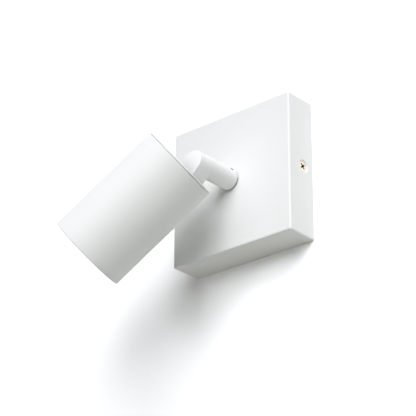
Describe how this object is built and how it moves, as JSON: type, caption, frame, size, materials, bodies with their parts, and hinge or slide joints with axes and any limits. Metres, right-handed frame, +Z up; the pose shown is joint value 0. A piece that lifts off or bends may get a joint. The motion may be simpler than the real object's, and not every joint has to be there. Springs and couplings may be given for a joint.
{
  "type": "wall spotlight",
  "caption": "Surface-mounted wall spotlight: square plate, short swivelling arm and a tilting tube head with a twist-lock lamp.",
  "frame": {"origin": "centre of the square face that lies on the wall", "axes": "+X right seen from the front, +Y into the wall, +Z up; the plate's front faces -Y"},
  "size_m": [0.1342, 0.117, 0.1274],
  "materials": {
    "white_powder_coat": "satin powder coat",
    "zinc_steel": "zinc plated",
    "brass": "plain brass",
    "nickel_brass": "pale plated brass",
    "white_ceramic": "unglazed steatite",
    "terminal_plastic": "matt",
    "black_rubber": "matt",
    "nylon": "matt",
    "lead_insulation": "silicone",
    "earth_insulation": "matt",
    "sleeve": "woven glass sleeve",
    "lamp_body": "matt",
    "lamp_board": "matt",
    "clear_lens": "prismatic"
  },
  "bodies": {
    "base": {"wall_bracket": "zinc_steel", "base_cover": "white_powder_coat", "cover_screws": "nickel_brass", "cable_grommet": "black_rubber", "terminal_block": "terminal_plastic", "terminal_clamps": "brass", "terminal_screws": "zinc_steel", "terminal_fixing_screw": "zinc_steel", "earth_screw": "zinc_steel", "earth_washer": "zinc_steel", "earth_ring": "nickel_brass", "earth_lead": "earth_insulation", "base_leads": "lead_insulation", "swivel_nipple": "zinc_steel", "swivel_nut": "zinc_steel", "swivel_lock_washer": "zinc_steel", "swivel_friction_washer": "nylon"},
    "arm": {"arm": "white_powder_coat", "arm_grub_screw": "zinc_steel", "arm_lead_sleeve": "sleeve"},
    "head": {"head_tube": "white_powder_coat", "rear_cap": "white_powder_coat", "tilt_bracket": "zinc_steel", "bracket_screws": "zinc_steel", "tilt_bolt": "zinc_steel", "tilt_nut": "zinc_steel", "tilt_washers": "nylon", "lamp_holder": "white_ceramic", "holder_contacts": "brass", "holder_screws": "zinc_steel", "holder_leads": "lead_insulation"},
    "lamp": {"lamp_housing": "lamp_body", "lamp_board": "lamp_board", "lamp_lens": "clear_lens", "lamp_pins": "nickel_brass"}
  },
  "joints": [
    {"name": "arm_swivel", "type": "hinge", "parent": "base", "child": "arm", "pos_m": [0, -0.0245, 0], "axis": [0, -1, 0], "range_deg": [-175, 175]},
    {"name": "head_tilt", "type": "hinge", "parent": "arm", "child": "head", "pos_m": [-0.0125, -0.056, -0.01068], "axis": [-0.6494, 0, 0.7604], "range_deg": [-13.9, 76.1]},
    {"name": "lamp_twist", "type": "hinge", "parent": "head", "child": "lamp", "pos_m": [-0.00337, -0.06996, -0.00288], "axis": [-0.7381, -0.2402, -0.6304], "range_deg": [0, 25]}
  ]
}
